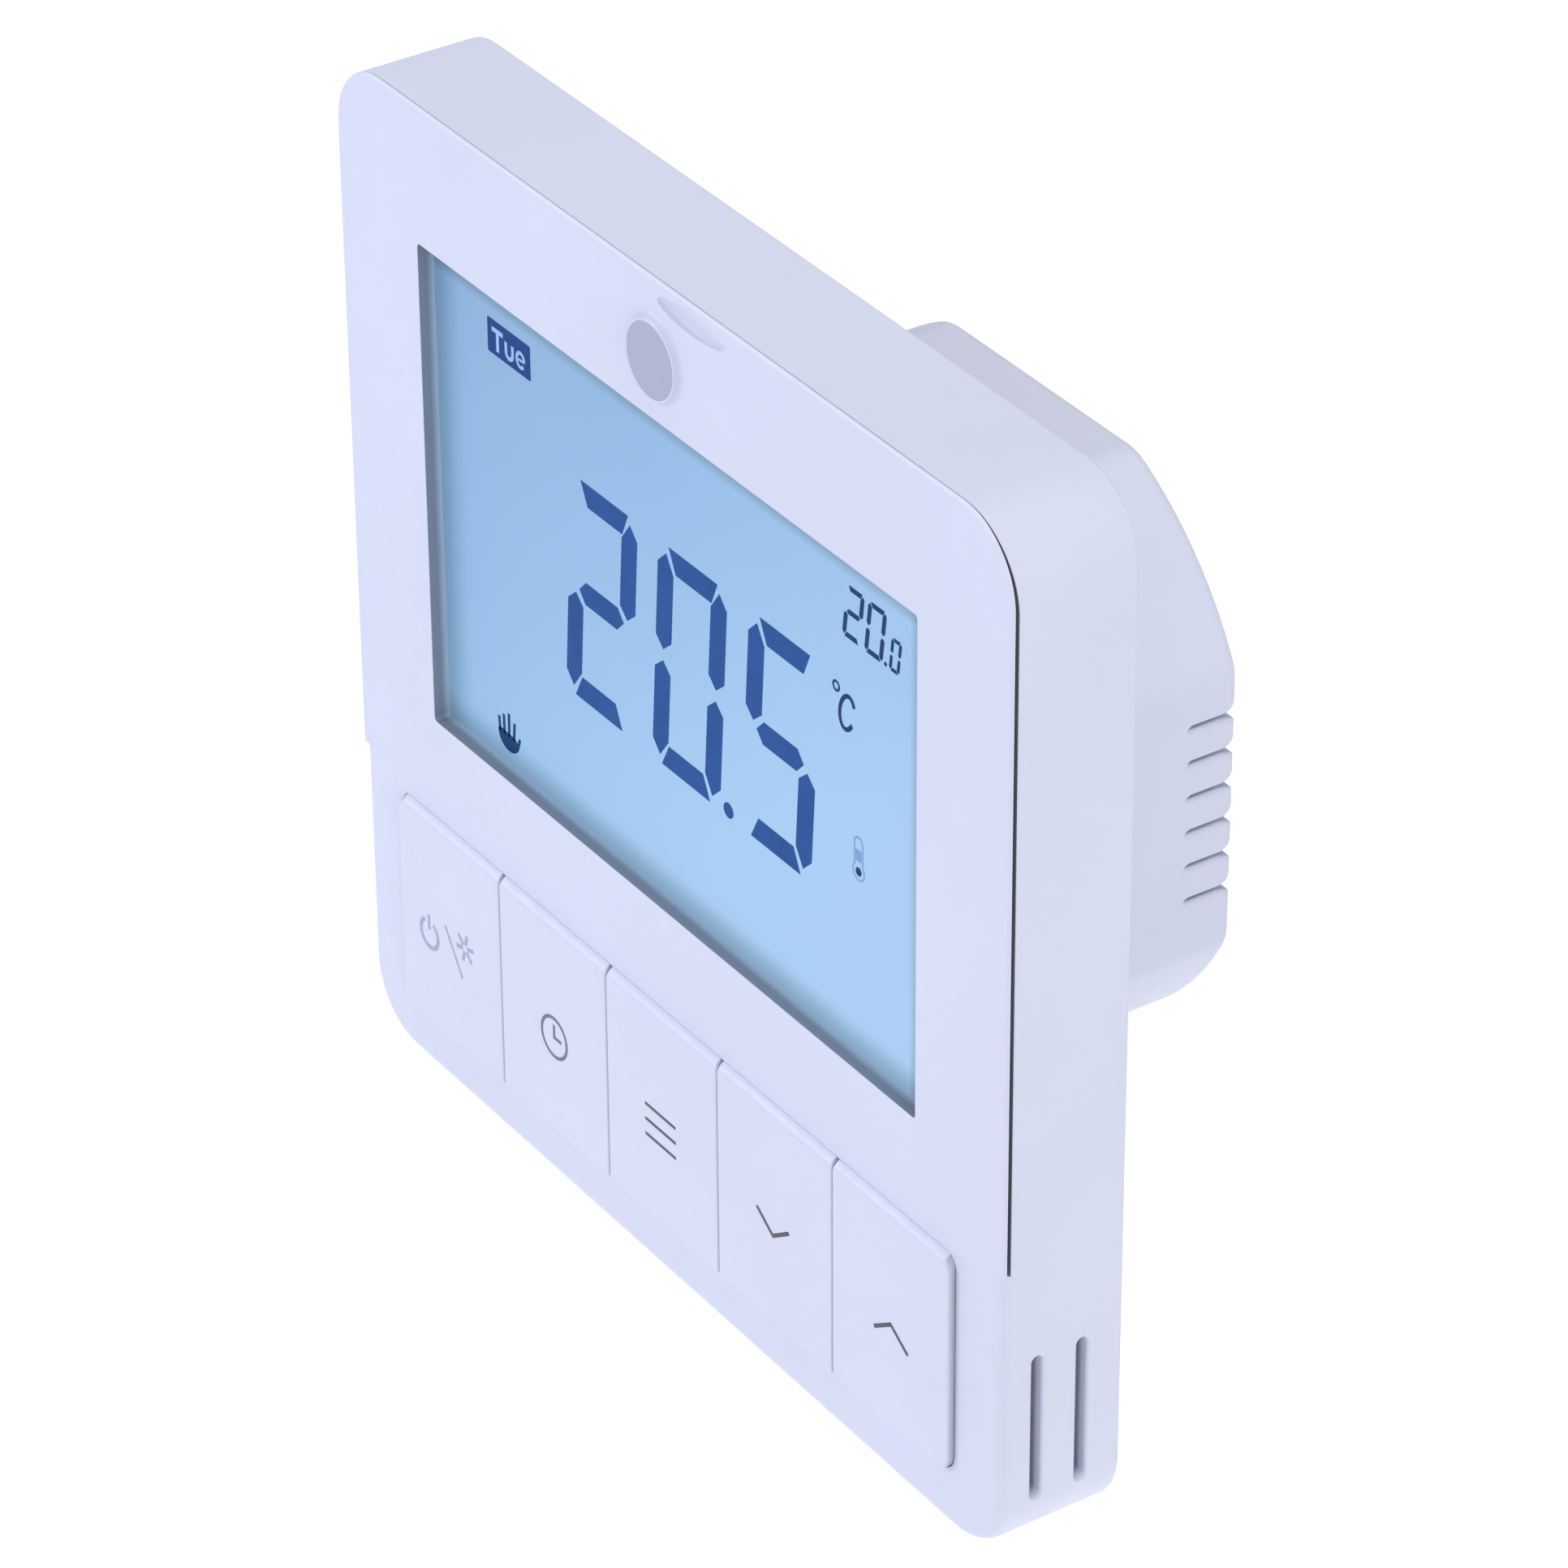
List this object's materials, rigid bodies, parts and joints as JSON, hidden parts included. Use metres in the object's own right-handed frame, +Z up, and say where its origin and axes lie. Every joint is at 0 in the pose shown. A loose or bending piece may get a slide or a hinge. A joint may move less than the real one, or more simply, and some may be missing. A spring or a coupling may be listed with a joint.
{
  "type": "wall thermostat",
  "caption": "Square wall thermostat with a blue backlit display, a row of push keys under it and a rear box that goes into a round wall box.",
  "frame": {"origin": "centre of the cover's outline on the wall plane, the plane that the base plate rests on", "axes": "+Z up as mounted, +X to the right seen from the front, -Y out of the wall towards the room"},
  "size_m": [0.086, 0.0345, 0.086],
  "materials": {
    "cover_plastic": "satin",
    "key_plastic": "satin",
    "box_plastic": "satin",
    "badge_plastic": "satin",
    "display_glass": "gloss",
    "clear_acrylic": "gloss",
    "frame_plastic": "satin",
    "contact_rubber": "matt",
    "lamp": "gloss",
    "circuit_board": "satin",
    "chip_plastic": "satin",
    "connector_plastic": "matt",
    "screw_steel": "zinc plated",
    "cell_steel": "bright",
    "sensor_bead": "epoxy",
    "inner_cover_plastic": "satin",
    "relay_case": "satin",
    "film_capacitor_case": "satin",
    "capacitor_sleeve": "satin",
    "fuse_case": "satin",
    "varistor_coating": "epoxy",
    "terminal_plastic": "satin"
  },
  "bodies": {
    "housing": {"front_cover": "cover_plastic", "badge": "badge_plastic", "display_glass": "display_glass", "light_guide": "clear_acrylic", "display_frame": "frame_plastic", "display_contact_strip": "contact_rubber", "backlight_lamp_left": "lamp", "backlight_lamp_right": "lamp", "front_board": "circuit_board", "microcontroller": "chip_plastic", "clock_crystal": "screw_steel", "backup_cell": "cell_steel", "room_sensor": "sensor_bead", "board_plug": "connector_plastic", "board_socket": "connector_plastic", "rear_housing": "box_plastic", "inner_cover": "inner_cover_plastic", "power_board": "circuit_board", "relay": "relay_case", "mains_capacitor": "film_capacitor_case", "smoothing_capacitor": "capacitor_sleeve", "fuse": "fuse_case", "varistor": "varistor_coating", "terminal_block": "terminal_plastic", "board_screw_upper_left": "screw_steel", "board_screw_upper_right": "screw_steel", "board_screw_lower_left": "screw_steel", "board_screw_lower_right": "screw_steel", "power_board_screw_left": "screw_steel", "power_board_screw_right": "screw_steel", "clamp_screw_1": "screw_steel", "clamp_screw_2": "screw_steel", "clamp_screw_3": "screw_steel", "clamp_screw_4": "screw_steel", "switch_power": "chip_plastic", "switch_clock": "chip_plastic", "switch_menu": "chip_plastic", "switch_down": "chip_plastic", "switch_up": "chip_plastic"},
    "power_key": {"key_power": "key_plastic", "plunger_power": "frame_plastic"},
    "clock_key": {"key_clock": "key_plastic", "plunger_clock": "frame_plastic"},
    "menu_key": {"key_menu": "key_plastic", "plunger_menu": "frame_plastic"},
    "down_key": {"key_down": "key_plastic", "plunger_down": "frame_plastic"},
    "up_key": {"key_up": "key_plastic", "plunger_up": "frame_plastic"}
  },
  "joints": [
    {"name": "power_key_press", "type": "slide", "parent": "housing", "child": "power_key", "axis": [0, 1, 0], "range_m": [0, 0.0005], "stiffness_N_per_m": 1200},
    {"name": "clock_key_press", "type": "slide", "parent": "housing", "child": "clock_key", "axis": [0, 1, 0], "range_m": [0, 0.0005], "stiffness_N_per_m": 1200},
    {"name": "menu_key_press", "type": "slide", "parent": "housing", "child": "menu_key", "axis": [0, 1, 0], "range_m": [0, 0.0005], "stiffness_N_per_m": 1200},
    {"name": "down_key_press", "type": "slide", "parent": "housing", "child": "down_key", "axis": [0, 1, 0], "range_m": [0, 0.0005], "stiffness_N_per_m": 1200},
    {"name": "up_key_press", "type": "slide", "parent": "housing", "child": "up_key", "axis": [0, 1, 0], "range_m": [0, 0.0005], "stiffness_N_per_m": 1200}
  ]
}
